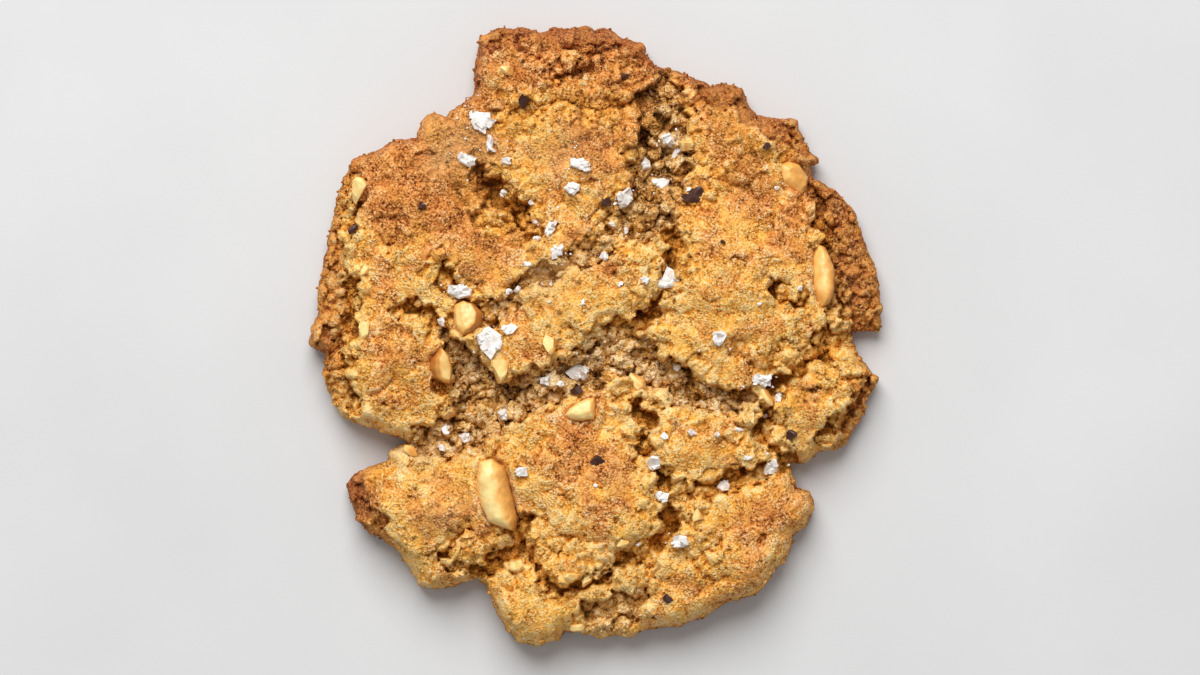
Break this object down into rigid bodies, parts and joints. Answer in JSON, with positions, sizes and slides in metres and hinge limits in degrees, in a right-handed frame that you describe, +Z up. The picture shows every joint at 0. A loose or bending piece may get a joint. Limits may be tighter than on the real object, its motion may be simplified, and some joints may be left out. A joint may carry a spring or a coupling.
{
  "type": "peanut butter cookie",
  "caption": "Round baked cookie with a craggy, cracked crust, set with roasted peanut pieces, dark chocolate flecks and flaky salt.",
  "frame": {"origin": "middle of the flat underside, at the centre of the cookie's box in plan", "axes": "+Z up from the underside through the cracked top, +Y along the longest side of the cookie, towards its raised top lobe, +X across it"},
  "size_m": [0.1026, 0.111, 0.0158],
  "materials": {
    "baked_crust": "matte, grainy baked dough",
    "roasted_peanut": "satin, faintly oily",
    "chocolate": "matte to satin",
    "salt": "frosted, translucent crystal"
  },
  "bodies": {
    "root": {"cookie": "baked_crust", "peanut_half_lower_left": "roasted_peanut", "peanut_half_right": "roasted_peanut", "peanut_piece_upper_right": "roasted_peanut", "peanut_piece_left_centre": "roasted_peanut", "peanut_piece_left": "roasted_peanut", "peanut_piece_centre": "roasted_peanut"}
  },
  "joints": []
}
